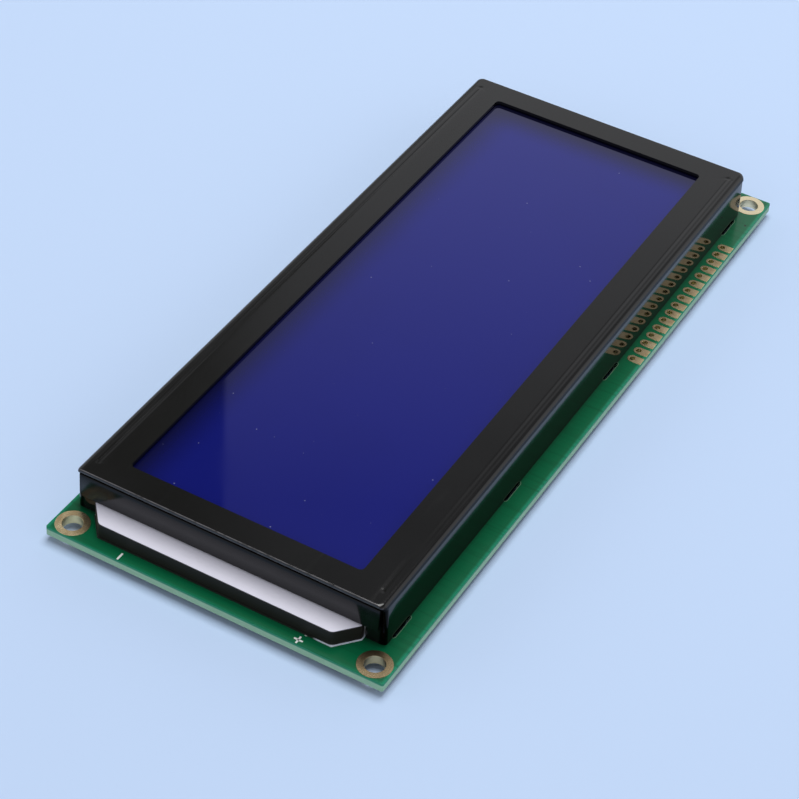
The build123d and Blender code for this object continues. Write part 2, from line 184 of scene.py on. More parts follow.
class Field:
    """A socket whose number varies over a surface; arithmetic on it adds Math nodes."""

    def __init__(self, finish, socket):
        self.finish = finish
        self.socket = socket

    def math(self, operation, first, second=None, clamp=False):
        sockets = {0: first} if second is None else {0: first, 1: second}
        node = self.finish.add("ShaderNodeMath", {"operation": operation, "use_clamp": clamp}, sockets)
        return Field(self.finish, node.outputs[0])

    def __add__(self, other):
        return self.math("ADD", self, other)

    __radd__ = __add__

    def __sub__(self, other):
        return self.math("SUBTRACT", self, other)

    def __rsub__(self, other):
        return self.math("SUBTRACT", other, self)

    def __mul__(self, other):
        return self.math("MULTIPLY", self, other)

    __rmul__ = __mul__

    def __truediv__(self, other):
        return self.math("DIVIDE", self, other)

    def __pow__(self, other):
        return self.math("POWER", self, other)

    def __abs__(self):
        return self.math("ABSOLUTE", self)

    def least(self, other):
        return self.math("MINIMUM", self, other)

    def most(self, other):
        return self.math("MAXIMUM", self, other)

    def ramp(self, start, end):
        """0 at start and 1 at end, with straight values between them."""
        return self.math("MULTIPLY", self - start, 1 / (end - start), clamp=True)

    def smooth(self, start, end):
        """0 at start and 1 at end, with soft ends."""
        settings = {"interpolation_type": "SMOOTHSTEP"}
        node = self.finish.add("ShaderNodeMapRange", settings, {0: self, 1: start, 2: end})
        return Field(self.finish, node.outputs[0])


class Graph:
    """A node tree, with short ways to add nodes and to feed their sockets."""

    def __init__(self, tree):
        self.tree = tree

    def feed(self, place, value):
        """Gives a socket a link or a constant; a colour gets a full alpha."""
        if isinstance(value, Field):
            self.tree.links.new(value.socket, place)
        elif isinstance(value, bpy.types.NodeSocket):
            self.tree.links.new(value, place)
        elif place.type == "RGBA" and len(value) == 3:
            place.default_value = (*value, 1)
        else:
            place.default_value = value

    def add(self, kind, settings=None, sockets=None):
        """Adds a node: its type, its settings, and the values or links of its sockets."""
        node = self.tree.nodes.new(kind)
        for name, value in (settings or {}).items():
            setattr(node, name, value)
        for name, value in (sockets or {}).items():
            self.feed(node.inputs[name], value)
        return node

    def parts(self, vector):
        """The three parts of a vector."""
        outputs = self.add("ShaderNodeSeparateXYZ", {}, {0: vector}).outputs
        return tuple(Field(self, output) for output in outputs)

    def mix(self, factor, first, second):
        """A colour between two others."""
        node = self.add("ShaderNodeMix", {"data_type": "RGBA"}, {0: factor, 6: first, 7: second})
        return node.outputs[2]


class Finish(Graph):
    """A material: its shader's constant sockets, and the nodes that vary the others."""

    def __init__(self, name, **constants):
        self.material = bpy.data.materials.new(name)
        self.material.use_nodes = True
        super().__init__(self.material.node_tree)
        self.shader = self.tree.nodes["Principled BSDF"]
        for socket, value in constants.items():
            self.set(socket.replace("_", " "), value)

    def set(self, socket, value):
        """Gives a socket of the shader a link or a constant."""
        self.feed(self.shader.inputs[socket], value)

    def coordinates(self):
        """Object coordinates, in metres."""
        return self.add("ShaderNodeTexCoord").outputs["Object"]

    def upward(self):
        """How far a face's own normal points up, from -1 to 1."""
        return self.parts(self.add("ShaderNodeNewGeometry").outputs["True Normal"])[2]

    def stretched(self, vector, scale):
        """The coordinates drawn out along an axis, for brushed or woven patterns."""
        return self.add("ShaderNodeMapping", {}, {"Vector": vector, "Scale": scale}).outputs[0]

    def noise(self, vector, scale, detail=2.0, rough=0.5):
        """Soft noise from 0 to 1, with scale in cells per metre."""
        sockets = {"Vector": vector, "Scale": scale, "Detail": detail, "Roughness": rough}
        return Field(self, self.add("ShaderNodeTexNoise", {}, sockets).outputs[0])

    def bump(self, height, strength, distance):
        """Feeds a height in 0 to 1 to the shader's normal."""
        sockets = {"Height": height, "Strength": strength, "Distance": distance}
        self.set("Normal", self.add("ShaderNodeBump", {}, sockets).outputs[0])


# Surfaces

def new_object(name, data):
    """An object in the scene for a mesh, a lamp or a camera."""
    made = bpy.data.objects.new(name, data)
    bpy.context.scene.collection.objects.link(made)
    return made


def quads(numbers):
    """Four-sided faces between the neighbouring points of a grid of numbers."""
    corners = (numbers[:-1, :-1], numbers[:-1, 1:], numbers[1:, 1:], numbers[1:, :-1])
    return np.stack(corners, axis=-1).reshape(-1, 4)


class Surfaces:
    """Closed islands gathered into one mesh, each from two matching grids of points."""

    def __init__(self):
        self.points = []
        self.faces = []
        self.caps = []
        self.count = 0

    def _take(self, *grids):
        """Stores grids of points and returns their numbers in the same layout."""
        numbers = []
        for grid in grids:
            rows, columns = grid.shape[:2]
            numbers.append(self.count + np.arange(rows * columns).reshape(rows, columns))
            self.points.append(grid.reshape(-1, 3))
            self.count += rows * columns
        return numbers

    def join(self, numbers):
        """Joins the neighbouring points of a grid of numbers."""
        self.faces.append(quads(numbers))

    def slab(self, front, back):
        """Two grids of the same layout, joined round their four edges."""
        ahead, behind = self._take(front, back)
        self.join(ahead)
        self.join(behind[:, ::-1])
        for edge in (np.s_[0, :], np.s_[-1, :], np.s_[:, 0], np.s_[:, -1]):
            self.join(np.stack((ahead[edge], behind[edge])))

    def plate(self, x, y, upper, lower):
        """A slab with upright sides between two heights over one grid."""
        self.slab(stack(x, y, upper), stack(x, y, lower))

    def ring(self, loops):
        """Closed loops of equal length, each joined to the next and the last to the first."""
        (numbers,) = self._take(loops)
        closed = np.concatenate((numbers, numbers[:1]))
        self.join(np.concatenate((closed, closed[:, :1]), axis=1))

    def cup(self, loops):
        """Closed loops, each joined to the next, with both ends closed by a flat face."""
        (numbers,) = self._take(loops)
        self.join(np.concatenate((numbers, numbers[:, :1]), axis=1))
        self.caps += [numbers[0].tolist(), numbers[-1][::-1].tolist()]

    def build(self, name, finish, slot, nodes, sharp=0.6):
        """Makes the mesh, turns its faces outwards and lets it stand for the CAD nodes."""
        mesh = bpy.data.meshes.new(name)
        points = np.concatenate(self.points)
        mesh.from_pydata(points.tolist(), [], np.concatenate(self.faces).tolist() + self.caps)
        shape = bmesh.new()
        shape.from_mesh(mesh)
        bmesh.ops.recalc_face_normals(shape, faces=shape.faces)
        shape.to_mesh(mesh)
        shape.free()
        mesh.shade_smooth()
        mesh.set_sharp_from_angle(angle=sharp)
        mesh.materials.append(finish.material)
        piece = new_object(name, mesh)
        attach(piece, "root")
        if nodes:
            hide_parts(*nodes)
        return piece


def spaced(start, end, count):
    """Evenly spaced numbers without their two ends."""
    return np.linspace(start, end, count + 2)[1:-1]


def dense_ends(count):
    """Numbers between -1 and 1 that crowd towards both: a sine of even steps."""
    return np.sin(spaced(-np.pi / 2, np.pi / 2, count))


def crowded_ends(start, inner, outer):
    """Steps from -1 to 1, closer together beyond a start share of the way to each end."""
    ends = np.linspace(start, 1, outer + 1)[:-1]
    return np.concatenate((-ends[::-1], spaced(-start, start, inner), ends))


def between(share, start, end):
    """Numbers at shares of the way from a start to an end."""
    return np.interp(share, (0, 1), (start, end))


def rounded_loop(half_x, half_y, radius, along, across, turns=9):
    """Points round rectangles with rounded corners.

    Each side runs between its two corners' centres, and each corner is a quarter
    circle. Sizes may be columns of values, one rectangle to a row.
    """
    columns = (np.atleast_1d(size)[:, None] for size in (half_x, half_y, radius))
    half_x, half_y, radius = np.broadcast_arrays(*columns)
    centre_x, centre_y = half_x - radius, half_y - radius
    quarter = np.linspace(0, np.pi / 2, turns)
    xs, ys = [], []
    for number, steps in enumerate((across, along, across, along)):
        turn = number * np.pi / 2
        c, s = np.round(np.cos(turn)), np.round(np.sin(turn))
        side = steps[None, :]
        if number % 2 == 0:
            xs.append(c * half_x + 0 * side)
            ys.append(c * side * centre_y)
        else:
            xs.append(-s * side * centre_x)
            ys.append(s * half_y + 0 * side)
        corner_x = c * centre_x - s * centre_x
        corner_y = s * centre_y + c * centre_y
        xs.append(corner_x + radius * np.cos(quarter + turn))
        ys.append(corner_y + radius * np.sin(quarter + turn))
    return np.concatenate(xs, axis=1), np.concatenate(ys, axis=1)


def disc_grid(count):
    """A square grid drawn onto the unit disc, so that a round form has no pole.

    Each square ring of the grid becomes a circle, and its corners become directions
    at 45 degrees.
    """
    steps = np.linspace(-1, 1, count)
    a, b = np.meshgrid(steps, steps)
    wide = np.abs(a) > np.abs(b)
    radius = np.where(wide, a, b)
    safe = np.where(radius == 0, 1, radius)
    ratio = np.where(wide, b, a) / safe
    angle = np.where(wide, np.pi / 4 * ratio, np.pi / 2 - np.pi / 4 * ratio)
    return radius * np.cos(angle), radius * np.sin(angle)


def stack(x, y, z):
    """Three arrays of coordinates as one array of points."""
    return np.stack(np.broadcast_arrays(x, y, z), axis=-1)


def placed(x, y, z):
    """Points given from the display's middle, in the frame's own coordinates."""
    return stack(x + display_x, y + display_y, z)


# Materials

def shaded(tone, share):
    """A colour times a share, or times one share for each of its parts."""
    return tuple(np.minimum(np.array(tone) * share, 1))


def distance(first, second):
    """How far two lengths at right angles reach together."""
    return (first * first + second * second) ** 0.5


def make_bezel_finish(paint):
    """Black paint, satin on the face and glossy on the walls, with faint marks from handling.

    Both rims of the face's cut edge are painted pale, as rubbed paint and as a painted highlight.
    The long walls, and the nose's wall under its seam, reflect less: painted shade that dims
    their reflections.
    """
    finish = Finish("black_bezel_paint", IOR=1.5)
    vector = finish.coordinates()
    x, y, z = finish.parts(vector)
    from_middle = abs(x - display_x)
    upward = finish.upward()
    face = upward.smooth(0.80, 0.98)
    cloudy = finish.noise(vector, 60, 4, 0.6)
    line = 0.10 * mm
    upper_rim = 1 - abs(from_middle - 66.74 * mm).ramp(0, line)
    upper_rim = upper_rim * (z - face_top).ramp(-0.16 * mm, -0.12 * mm)
    lower_rim = 1 - abs(face_top - 0.46 * mm - z).ramp(0, line)
    lower_rim = lower_rim * from_middle.ramp(66.5 * mm, 66.6 * mm)
    patchy = finish.noise(finish.stretched(vector, (300, 900, 300)), 1, 3).smooth(0.15, 0.6)
    # Pale lines along both rims of the cut edge, broken in patches: rubbed paint and a painted highlight.
    rim_wear_and_highlight = (upper_rim + lower_rim * 0.5) * patchy
    tone = finish.mix(cloudy.smooth(0.35, 0.75), paint, shaded(paint, 1.4))
    finish.set("Base Color", finish.mix(rim_wear_and_highlight, tone, (0.16, 0.155, 0.165)))
    nose_wall = (x - display_x).ramp(nose_wall_start, nose_wall_start + line) * (1 - face)
    # Painted shade: the long walls, and the nose's wall more and more towards its seam, are made metallic
    # black so that their reflections are dimmed.
    seam_shade = z.ramp(8.1 * mm, 10.6 * mm) * (1 - z.ramp(10.5 * mm, 10.6 * mm)) * nose_wall
    long_wall_shade = abs(y - display_y).ramp(long_wall_start, long_wall_start + 0.3 * mm)
    long_wall_shade = long_wall_shade * (1 - upward.smooth(0.25, 0.65))
    finish.set("Metallic", (long_wall_shade * 0.95).most(seam_shade * 0.8))
    marks = finish.noise(finish.stretched(vector, (40, 700, 200)), 1, 3).smooth(0.60, 0.75)
    finish.set("Roughness", face * 0.06 + nose_wall * 0.07 + 0.06 + cloudy * 0.05 + marks * 0.05)
    finish.bump(finish.noise(vector, 9000, 2) * face, 0.05, 0.02 * mm)
    return finish


def make_gold_finish(tone):
    """Dull gold plating with a cloudy tarnish and pale walls inside the holes.

    Its colour is paler at the board's far end, a painted reflection, and darker brown at the
    header side's near corner, a painted shade.
    """
    finish = Finish("gold_plating", Metallic=1.0)
    vector = finish.coordinates()
    x, y, _ = finish.parts(vector)
    side = 1 - abs(finish.upward()).smooth(0.3, 0.8)
    cloudy = finish.noise(vector, 700, 4, 0.6)
    # Painted reflection: the gold is made paler towards the board's far end.
    far_end_reflection = (-60 * mm - x).ramp(0, 8 * mm)
    # Painted shade: the gold is made darker brown at the header side's near corner, less on the hole
    # walls.
    near_corner_shade = (x + y * 2).ramp(50 * mm, 110 * mm) * (1 - side * 0.4)
    gold = finish.mix(cloudy.smooth(0.25, 0.75), shaded(tone, (0.82, 0.74, 0.66)), tone)
    gold = finish.mix(side, gold, shaded(tone, (1.05, 1.1, 1.0)))
    gold = finish.mix(far_end_reflection, gold, (1.0, 0.86, 0.58))
    gold = finish.mix(near_corner_shade, gold, (0.34, 0.26, 0.15))
    finish.set("Base Color", gold)
    finish.set("Roughness", 0.22 + cloudy * 0.08)
    finish.bump(finish.noise(vector, 4000, 2), 0.05, 0.02 * mm)
    return finish


def make_board_finish(sizes, bezel):
    """Green solder mask over copper and bare laminate, pale and fibrous on the cut edges.

    The mask is brighter along the board's rim, darkened by a painted shade at the bezel's foot,
    pale round each slot, and broken by one small dark hole.
    """
    finish = Finish("solder_mask", IOR=1.5)
    vector = finish.coordinates()
    x, y, z = finish.parts(vector)
    along, across = x - display_x, abs(y - display_y)
    from_end, from_side = board_high.x - abs(x), board_high.y - abs(y)
    cloudy = finish.noise(vector, 150, 3)
    streaks = finish.noise(finish.stretched(vector, (1600, 60, 60)), 1, 2)
    rim = 1 - (from_end.least(from_side) + cloudy * (0.3 * mm)).smooth(0.3 * mm, 0.9 * mm)
    rim = rim * (1 - (from_side - from_end).ramp(0, 0.5 * mm) * 0.6)
    mask = finish.mix(rim, sizes.mask, sizes.mask_bright)
    mask = finish.mix(streaks.smooth(0.45, 0.75) * 0.5, mask, shaded(sizes.mask, 0.72))
    nearest = abs(along - tab_places[0])
    for place in tab_places[1:]:
        nearest = nearest.least(abs(along - place))
    from_slot = distance((nearest - slot_half_length).most(0), across - slot_y) - slot_radius
    mask = finish.mix((1 - from_slot.ramp(0.04 * mm, 0.13 * mm)) * 0.5, mask, sizes.laminate)
    # Painted shade: the mask is darkened within 0.8 mm of the bezel's foot.
    foot_x, foot_y = abs(along) - nose_wall_start, across - bezel.half_width
    foot_shade_reach = distance(foot_x.most(0), foot_y.most(0))
    mask = finish.mix((1 - foot_shade_reach.ramp(0, 0.8 * mm)) * 0.6, mask, (0.0008, 0.045, 0.018))
    from_hole = distance(x - small_hole_place[0], y - small_hole_place[1])
    mask = finish.mix(1 - from_hole.ramp(0.16 * mm, 0.28 * mm), mask, (0.004, 0.02, 0.01))
    cut = 1 - abs(finish.upward()).smooth(0.4, 0.8)
    plies = finish.noise(finish.stretched(vector, (300, 300, 5000)), 1, 2)
    laminate = finish.mix(plies, shaded(sizes.laminate, 0.7), sizes.laminate)
    upper_edge = (z - board_top).ramp(-0.50 * mm, -0.30 * mm)
    laminate = finish.mix(upper_edge, laminate, sizes.mask_bright)
    finish.set("Base Color", finish.mix(cut, mask, laminate))
    finish.set("Roughness", 0.15 + cut * 0.45 + cloudy * 0.07)
    finish.bump(cloudy * (1 - cut) + plies * cut, 0.10, 0.08 * mm)
    return finish


def make_film_finish(colours, bezel):
    """Glossy blue film, nearly black along the window's far and plain edges, in the frame's shade."""
    gloss = {"IOR": 1.5, "Specular_IOR_Level": 1.0, "Specular_Tint": (0.5, 0.5, 1.0)}
    finish = Finish("blue_polarizing_film", **gloss)
    vector = finish.coordinates()
    x, y, _ = finish.parts(vector)
    from_far = x - (display_x - bezel.window_half_length)
    from_plain = y - (display_y - bezel.window_half_width)
    lit = from_far.smooth(0, 8.5 * mm) * from_plain.smooth(-2.5 * mm, 7.5 * mm)
    cloudy = finish.noise(vector, 25, 3).smooth(0.4, 0.7)
    tone = finish.mix(cloudy, colours.film, shaded(colours.film, 0.92))
    tone = finish.mix(lit, colours.film_shaded, tone)
    dust = finish.noise(vector, 1500, 0).smooth(0.87, 0.91)
    finish.set("Base Color", finish.mix(dust * 0.6, tone, (0.16, 0.17, 0.28)))
    smear = finish.noise(finish.stretched(vector, (60, 18, 40)), 1, 3).smooth(0.5, 0.8)
    finish.set("Roughness", 0.02 + smear * 0.02 + dust * 0.4)
    return finish


def make_plain_finish(name, tone, roughness, grain, depth=0.15, **constants):
    """A moulded, rubber or ceramic finish: one colour with soft clouds and a fine grain."""
    finish = Finish(name, **constants)
    vector = finish.coordinates()
    cloudy = finish.noise(vector, 220, 3)
    finish.set("Base Color", finish.mix(cloudy, shaded(tone, 0.88), tone))
    finish.set("Roughness", roughness - 0.05 + cloudy * 0.10)
    finish.bump(finish.noise(vector, grain, 2), depth, 0.03 * mm)
    return finish


def make_lip_finish():
    """Reflector film: white, but dark on its lip round the nose, except at the lip's header-side end."""
    finish = Finish("reflector_film", Roughness=0.5)
    vector = finish.coordinates()
    x, y, _ = finish.parts(vector)
    outside = (x - display_x).ramp(66.8 * mm, 66.9 * mm)
    bare = (y - display_y).ramp(18.4 * mm, 19.4 * mm)
    grain = finish.noise(vector, 1500, 2)
    white = finish.mix(grain, (0.62, 0.68, 0.80), (0.72, 0.78, 0.90))
    finish.set("Base Color", finish.mix(outside * (1 - bare), white, (0.006, 0.012, 0.008)))
    return finish


def make_layered_finish():
    """Connector rubber: fine dark layers across pale silicone."""
    finish = Finish("layered_rubber", Roughness=0.55)
    sockets = {"Vector": finish.coordinates(), "Scale": 3000, "Distortion": 0.3}
    wave = finish.add("ShaderNodeTexWave", {"bands_direction": "X"}, sockets)
    layers = Field(finish, wave.outputs[1])
    finish.set("Base Color", finish.mix(layers, (0.03, 0.03, 0.035), (0.52, 0.55, 0.60)))
    return finish


# Operators

class ModuleOperator(bpy.types.Operator):
    """Shared ground of the module's operators."""

    bl_options = {"REGISTER", "UNDO"}


class LCD_OT_bezel(ModuleOperator):
    """Makes the folded metal bezel: face, walls, end flanges and twisted tabs"""

    bl_idname = "lcd.bezel"
    bl_label = "Metal bezel"

    def execute(self, context):
        sizes = context.scene.lcd_bezel
        surfaces = Surfaces()
        self.add_face(surfaces, sizes)
        self.add_long_walls(surfaces, sizes)
        self.add_short_walls(surfaces, sizes)
        self.add_tabs(surfaces, sizes)
        finish = make_bezel_finish(sizes.paint)
        surfaces.build("folded_bezel", finish, "bezel", ["metal_bezel"])
        return {"FINISHED"}

    @staticmethod
    def pressed(sizes, x, y):
        """Depth pressed into the face: a lopsided vee along each groove, a fainter one outside
        it, and a bowl at each dimple.

        Each is half a cosine wave of the distance, deepest at the groove's line or the
        dimple's middle and level at the rim. A groove's distance is counted in widths of
        its steep side below the line and of its gentle side above.
        """
        def wave(distance):
            return 0.5 + 0.5 * np.cos(np.pi * np.minimum(distance, 1))

        beyond = np.maximum(np.abs(x) - sizes.dimple_reach, 0)
        from_line = y - np.sign(y) * sizes.groove_offset
        widths = from_line / np.where(from_line < 0, sizes.groove_steep, sizes.groove_gentle)
        outside = np.abs(y) - sizes.groove_offset
        groove = sizes.groove_depth * wave(np.hypot(beyond / sizes.groove_gentle, widths))
        faint = 0.45 * sizes.groove_depth * wave(np.hypot(beyond, outside - 0.85 * mm) / (0.33 * mm))
        from_dimple = np.hypot(np.abs(x) - sizes.dimple_reach, outside)
        dimple = sizes.dimple_depth * wave(from_dimple / sizes.dimple_radius)
        return np.maximum(np.maximum(groove, faint), dimple)

    def add_face(self, surfaces, sizes):
        """Face and rim: rounded rectangles that grow from the window to the flat's edge, go
        round it and down the rim, and come back along the inside.

        On the bend the offset from the flat's edge is the radius times the sine of the
        turn, and the height is the radius times its cosine. Along the short sides the
        sheet then tucks in under a rounded lower edge, and leaves a seam over the wall.
        """
        radius, long_bend, seam = sizes.bend_radius, sizes.long_bend, sizes.seam_depth
        window_x, window_y = sizes.window_half_length, sizes.window_half_width
        flat_x, flat_y = sizes.reach - radius, sizes.half_width - long_bend
        flat_corner = sizes.face_corner - radius
        groove_at = (sizes.groove_offset - window_y) / (flat_y - window_y)
        rows = np.concatenate((
            (0, 0.05), np.linspace(0.12, 0.56, 6), groove_at + np.linspace(-0.09, 0.215, 34), (1,)
        ))
        sheet_under = face_top - sizes.sheet
        rim_foot = sheet_under - sizes.slit
        turn = np.linspace(0, np.pi / 2, 8)[1:]
        grown = radius * np.sin(turn)
        tuck, rim_rows = 0.12 * mm, 10
        half_x = np.concatenate((
            between(rows, window_x, flat_x), flat_x + grown, [sizes.reach],
            sizes.reach - tuck * (1 - np.cos(turn)), np.full(2, sizes.reach - seam),
        ))
        half_y = np.concatenate((
            between(rows, window_y, flat_y), flat_y + long_bend * np.sin(turn),
            np.full(rim_rows, sizes.half_width),
        ))
        corner = np.concatenate((
            between(rows, sizes.window_corner, flat_corner), flat_corner + grown,
            np.full(rim_rows - 2, sizes.face_corner), np.full(2, sizes.face_corner - seam / 2),
        ))
        level = np.concatenate((
            np.full(rows.shape, face_top), face_top - radius + radius * np.cos(turn),
            [sheet_under + tuck], sheet_under + tuck - tuck * np.sin(turn), [sheet_under, rim_foot],
        ))
        long_level = np.concatenate((
            np.full(rows.shape, face_top), face_top - long_bend + long_bend * np.cos(turn),
            np.linspace(face_top - long_bend, rim_foot, rim_rows + 1)[1:],
        ))
        along, across = crowded_ends(0.96, 60, 16), crowded_ends(0.86, 30, 12)
        x, y = rounded_loop(half_x, half_y, corner, along, across)
        centre_y = (half_y - corner)[:, None]
        toward_long = np.clip((np.abs(y) - centre_y) / corner[:, None], 0, 1)
        height = level[:, None] * (1 - toward_long) + long_level[:, None] * toward_long
        above_foot = (height - rim_foot) / (rim_foot - board_top)
        lean = -sizes.lean * above_foot * (np.abs(y) > 0.99 * sizes.half_width)
        outside = placed(x, y + np.sign(y) * lean, height - self.pressed(sizes, x, y))
        inner_rows = np.concatenate((rows[::3], [1, 1]))
        inner_level = np.full(inner_rows.shape, sheet_under)
        inner_level[-1] = rim_foot
        x, y = rounded_loop(
            between(inner_rows, window_x, sizes.reach - sizes.sheet),
            between(inner_rows, window_y, sizes.half_width - sizes.sheet),
            between(inner_rows, sizes.window_corner, 0.3 * mm), along, across,
        )
        inside = placed(x, y, inner_level[:, None] - self.pressed(sizes, x, y))
        surfaces.ring(np.concatenate((outside, inside[::-1])))

    def add_long_walls(self, surfaces, sizes):
        """Long walls with their flanges: an upright sheet carried from one gate edge round both
        corners to the other, its inside one sheet in along the path's normal.

        The sheet leans in towards the face: its offset grows downwards as a parabola that
        is level at the foot.
        """
        radius = sizes.wall_corner
        corner_x, corner_y = sizes.flange_reach - radius, sizes.half_width - radius
        quarter = np.linspace(0, np.pi / 2, 10)
        flange = np.linspace(sizes.gate_half, corner_y, 5)[:-1]
        run = spaced(corner_x, -corner_x, 60)
        ends, sides = np.ones(flange.shape), np.ones(run.shape)
        x = np.concatenate((
            ends * sizes.flange_reach, corner_x + radius * np.cos(quarter), run,
            -corner_x - radius * np.sin(quarter), -ends * sizes.flange_reach,
        ))
        y = np.concatenate((
            flange, corner_y + radius * np.sin(quarter), sides * sizes.half_width,
            corner_y + radius * np.cos(quarter), flange[::-1],
        ))
        normal_x = np.concatenate((ends, np.cos(quarter), 0 * sides, -np.sin(quarter), -ends))
        normal_y = np.concatenate((0 * ends, np.sin(quarter), sides, np.cos(quarter), 0 * ends))
        rim_foot = face_top - sizes.sheet - sizes.slit
        heights = np.linspace(board_top, rim_foot, 14)[:, None]
        share = (rim_foot - heights) / (rim_foot - board_top)
        lean = sizes.lean * share * (1 - share / 2)
        for side in (1, -1):
            surfaces.slab(*(
                placed(x - depth * normal_x, side * (y + (lean - depth) * normal_y), heights)
                for depth in (0, sizes.sheet)
            ))

    def add_short_walls(self, surfaces, sizes):
        """Short walls: upright plates from the rim down to a foot with rounded corners.

        Near the foot the half width shrinks as a quarter circle does.
        """
        corner, half_width = sizes.short_wall_corner, sizes.short_wall_half
        rim_foot = face_top - sizes.sheet - sizes.slit
        across = np.concatenate(([-1], dense_ends(40), [1]))[None, :]
        rounding = np.linspace(0, np.pi / 2, 7)[1:]
        easing = np.linspace(0, np.pi / 2, 6)[:-1]
        ease, body_rows = 0.12 * mm, 8
        for end, foot in ((1, sizes.near_foot), (-1, sizes.far_foot)):
            heights = np.concatenate((
                rim_foot - ease * (1 - np.cos(easing)),
                np.linspace(rim_foot - ease, foot + corner, body_rows),
                foot + corner - corner * np.sin(rounding),
            ))[:, None]
            half = np.concatenate((
                np.full(len(easing) + body_rows, half_width),
                half_width - corner + corner * np.cos(rounding),
            ))[:, None]
            eased = np.concatenate((
                ease * (1 - np.sin(easing)), np.zeros(body_rows + len(rounding))
            ))[:, None]
            surfaces.slab(*(
                placed(end * (sizes.reach - inset), half * across, heights)
                for inset in (eased, sizes.sheet)
            ))

    def add_tabs(self, surfaces, sizes):
        """Tabs: a flat strip straight through the board, then turned about its own middle line."""
        twist, twist_low, twist_high = np.radians(38), 0.55 * mm, 1.15 * mm
        heights = np.concatenate((
            [0], np.linspace(0.2 * mm, twist_high, 14), np.linspace(board_under, board_top, 3)
        ))[:, None]
        turn = np.interp(heights, (twist_low, twist_high), (twist, 0))
        across = np.linspace(-sizes.tab_width / 2, sizes.tab_width / 2, 9)[None, :]
        middle = sizes.half_width - sizes.sheet / 2
        for x in tab_places:
            for side in (1, -1):
                surfaces.slab(*(
                    placed(
                        x + across * np.cos(turn) - depth * np.sin(turn),
                        side * middle + across * np.sin(turn) + depth * np.cos(turn),
                        heights,
                    )
                    for depth in (sizes.sheet / 2, -sizes.sheet / 2)
                ))


class LCD_OT_lands(ModuleOperator):
    """Makes the plated lands of the mounting holes and of the header"""

    bl_idname = "lcd.lands"
    bl_label = "Plated lands"

    def execute(self, context):
        sizes = context.scene.lcd_board
        finish = make_gold_finish(sizes.gold)
        circle = np.linspace(0, 2 * np.pi, 64, endpoint=False)
        mounting = Surfaces()
        for x in (sizes.hole_reach_x, -sizes.hole_reach_x):
            for y in (sizes.hole_reach_y, -sizes.hole_reach_y):
                reach = np.full(circle.shape, sizes.land_radius)
                self.add_land(mounting, sizes, x, y, circle, reach, sizes.hole_radius)
        mounting.build("plated_mounting_lands", finish, "plating", ["mounting_lands"])

        header = Surfaces()
        top_reach = pads_high.y - sizes.pad_row_y
        corner = np.arctan2(top_reach, sizes.pad_half_width)
        turns, counts = (-np.pi, 0, corner, np.pi - corner, np.pi), (17, 6, 6, 6)
        angle = np.concatenate([
            np.linspace(start, end, count)[:-1] for start, end, count in zip(turns, turns[1:], counts)
        ])
        safe_cos = np.maximum(np.abs(np.cos(angle)), 1e-6)
        safe_sin = np.maximum(np.sin(angle), 1e-6)
        straight = np.minimum(sizes.pad_half_width / safe_cos, top_reach / safe_sin)
        reach = np.where(np.sin(angle) <= 1e-6, sizes.pad_half_width, straight)
        for number in range(pad_count):
            x = pads_low.x + sizes.pad_half_width + number * sizes.pad_pitch
            self.add_land(header, sizes, x, sizes.pad_row_y, angle, reach, sizes.pad_hole_radius)
        header.build("plated_header_lands", finish, "plating", ["header_lands"])
        return {"FINISHED"}

    @staticmethod
    def add_land(surfaces, sizes, x, y, angle, reach, hole):
        """A plated hole: loops up the hole, over the land's eased edge, and down the barrel.

        Each loop is a reach from the hole's middle along every angle, at one height.
        """
        plating = sizes.plating
        top, under = board_top + plating, board_under - plating
        eased = reach - plating / 2
        inside = np.full(angle.shape, hole)
        loops = (
            (inside, under + plating / 3), (inside, top - plating / 3), (inside + plating / 3, top),
            (eased, top), (reach, top - plating / 2), (reach, board_top),
            (inside + plating, board_top), (inside + plating, board_under),
            (reach, board_under), (reach, under + plating / 2), (eased, under),
            (inside + plating / 3, under),
        )
        surfaces.ring(np.stack([
            stack(x + size * np.cos(angle), y + size * np.sin(angle), height) for size, height in loops
        ]))


class LCD_OT_marks(ModuleOperator):
    """Makes the printed polarity marks and the small dot beside them"""

    bl_idname = "lcd.marks"
    bl_label = "Printed marks"

    def execute(self, context):
        sizes = context.scene.lcd_board
        surfaces = Surfaces()
        half = sizes.mark_size / 2
        stroke = sizes.mark_size * 0.11
        bars = ((minus_place, half, stroke), (plus_place, half, stroke), (plus_place, stroke, half))
        for (x, y), half_x, half_y in bars:
            self.add_bar(surfaces, x, y, half_x, half_y, stroke * 0.6)
        disc_x, disc_y = disc_grid(9)
        radius = 0.28 * mm
        self.add_print(surfaces, dot_place[0] + radius * disc_x, dot_place[1] + radius * disc_y)
        finish = make_plain_finish("printed_ink", sizes.ink, 0.55, 6000)
        surfaces.build("printed_marks", finish, "board", [])
        return {"FINISHED"}

    @staticmethod
    def add_print(surfaces, x, y):
        """A flat grid of ink just over the board."""
        ink = 0.02 * mm
        surfaces.plate(x, y, board_top + ink, board_top)

    def add_bar(self, surfaces, x, y, half_x, half_y, corner):
        """A bar of ink: a square grid whose rings are rounded rectangles."""
        disc_x, disc_y = disc_grid(9)
        away = np.maximum(np.hypot(disc_x, disc_y), 1e-9)
        square = np.linspace(-1, 1, 9)
        grid_x, grid_y = np.meshgrid(square, square)
        round_x, round_y = disc_x / away, disc_y / away
        shell = np.maximum(np.abs(grid_x), np.abs(grid_y))
        body_x = grid_x * (half_x - corner) + round_x * corner * shell
        body_y = grid_y * (half_y - corner) + round_y * corner * shell
        self.add_print(surfaces, x + body_x, y + body_y)


